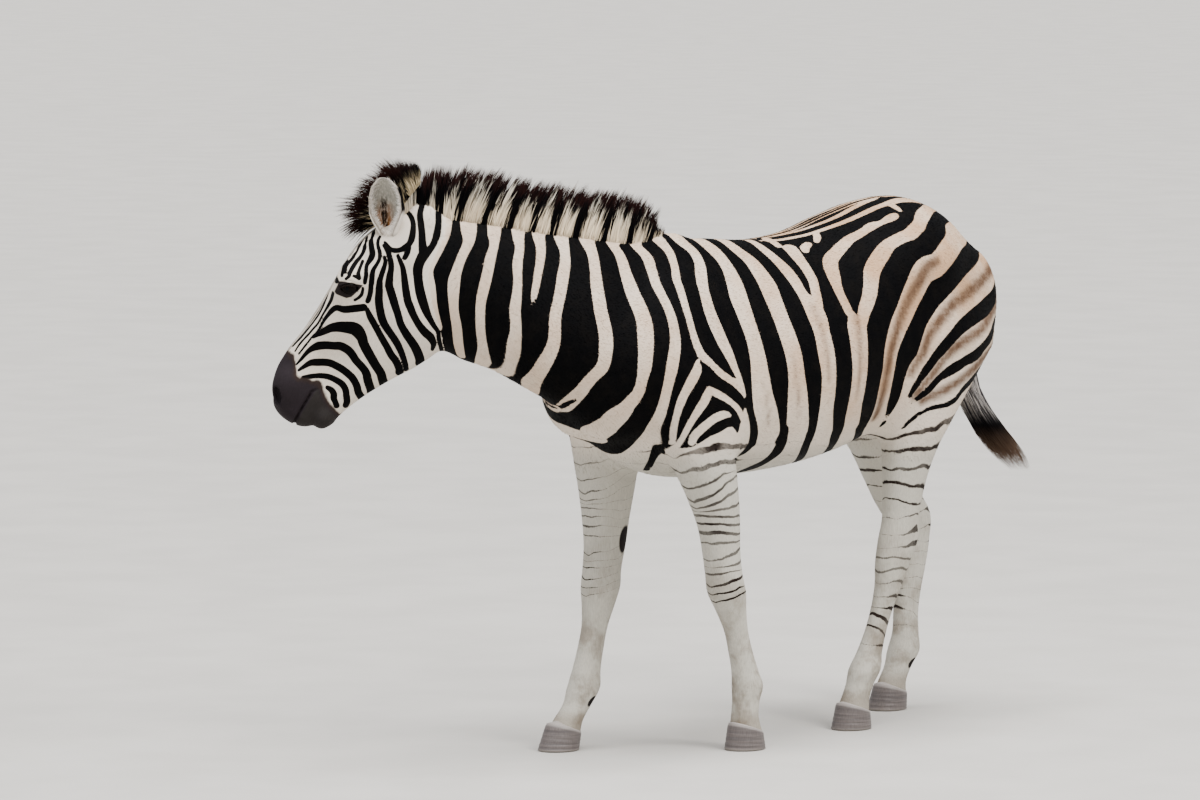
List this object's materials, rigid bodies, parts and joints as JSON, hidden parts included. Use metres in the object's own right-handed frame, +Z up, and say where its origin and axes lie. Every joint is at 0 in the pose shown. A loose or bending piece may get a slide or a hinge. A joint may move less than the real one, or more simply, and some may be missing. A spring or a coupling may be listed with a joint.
{
  "type": "zebra model",
  "caption": "Life-size still model of a plains zebra standing in mid step with its head turned, with upright mane and tufted tail.",
  "frame": {"origin": "centre of the bounding box's base, on the floor under the four soles", "axes": "+Z up, the trunk lies along Y and faces -Y, the animal's left is +X; its head is turned 45 degrees towards -X"},
  "size_m": [0.7722, 2.245, 1.4899],
  "materials": {
    "coat": "short striped fur, matt",
    "hair": "long coarse hair, matt",
    "hoof": "grey horn, satin",
    "eye": "wet gloss, near black"
  },
  "bodies": {
    "root": {"head": "coat", "neck": "coat", "trunk": "coat", "tail": "coat", "foreleg_left": "coat", "foreleg_right": "coat", "hindleg_left": "coat", "hindleg_right": "coat", "ear_left": "coat", "ear_right": "coat", "mane": "hair", "forelock": "hair", "tail_tuft": "hair", "hoof_front_left": "hoof", "hoof_front_right": "hoof", "hoof_hind_left": "hoof", "hoof_hind_right": "hoof", "eye_left": "eye", "eye_right": "eye"}
  },
  "joints": []
}
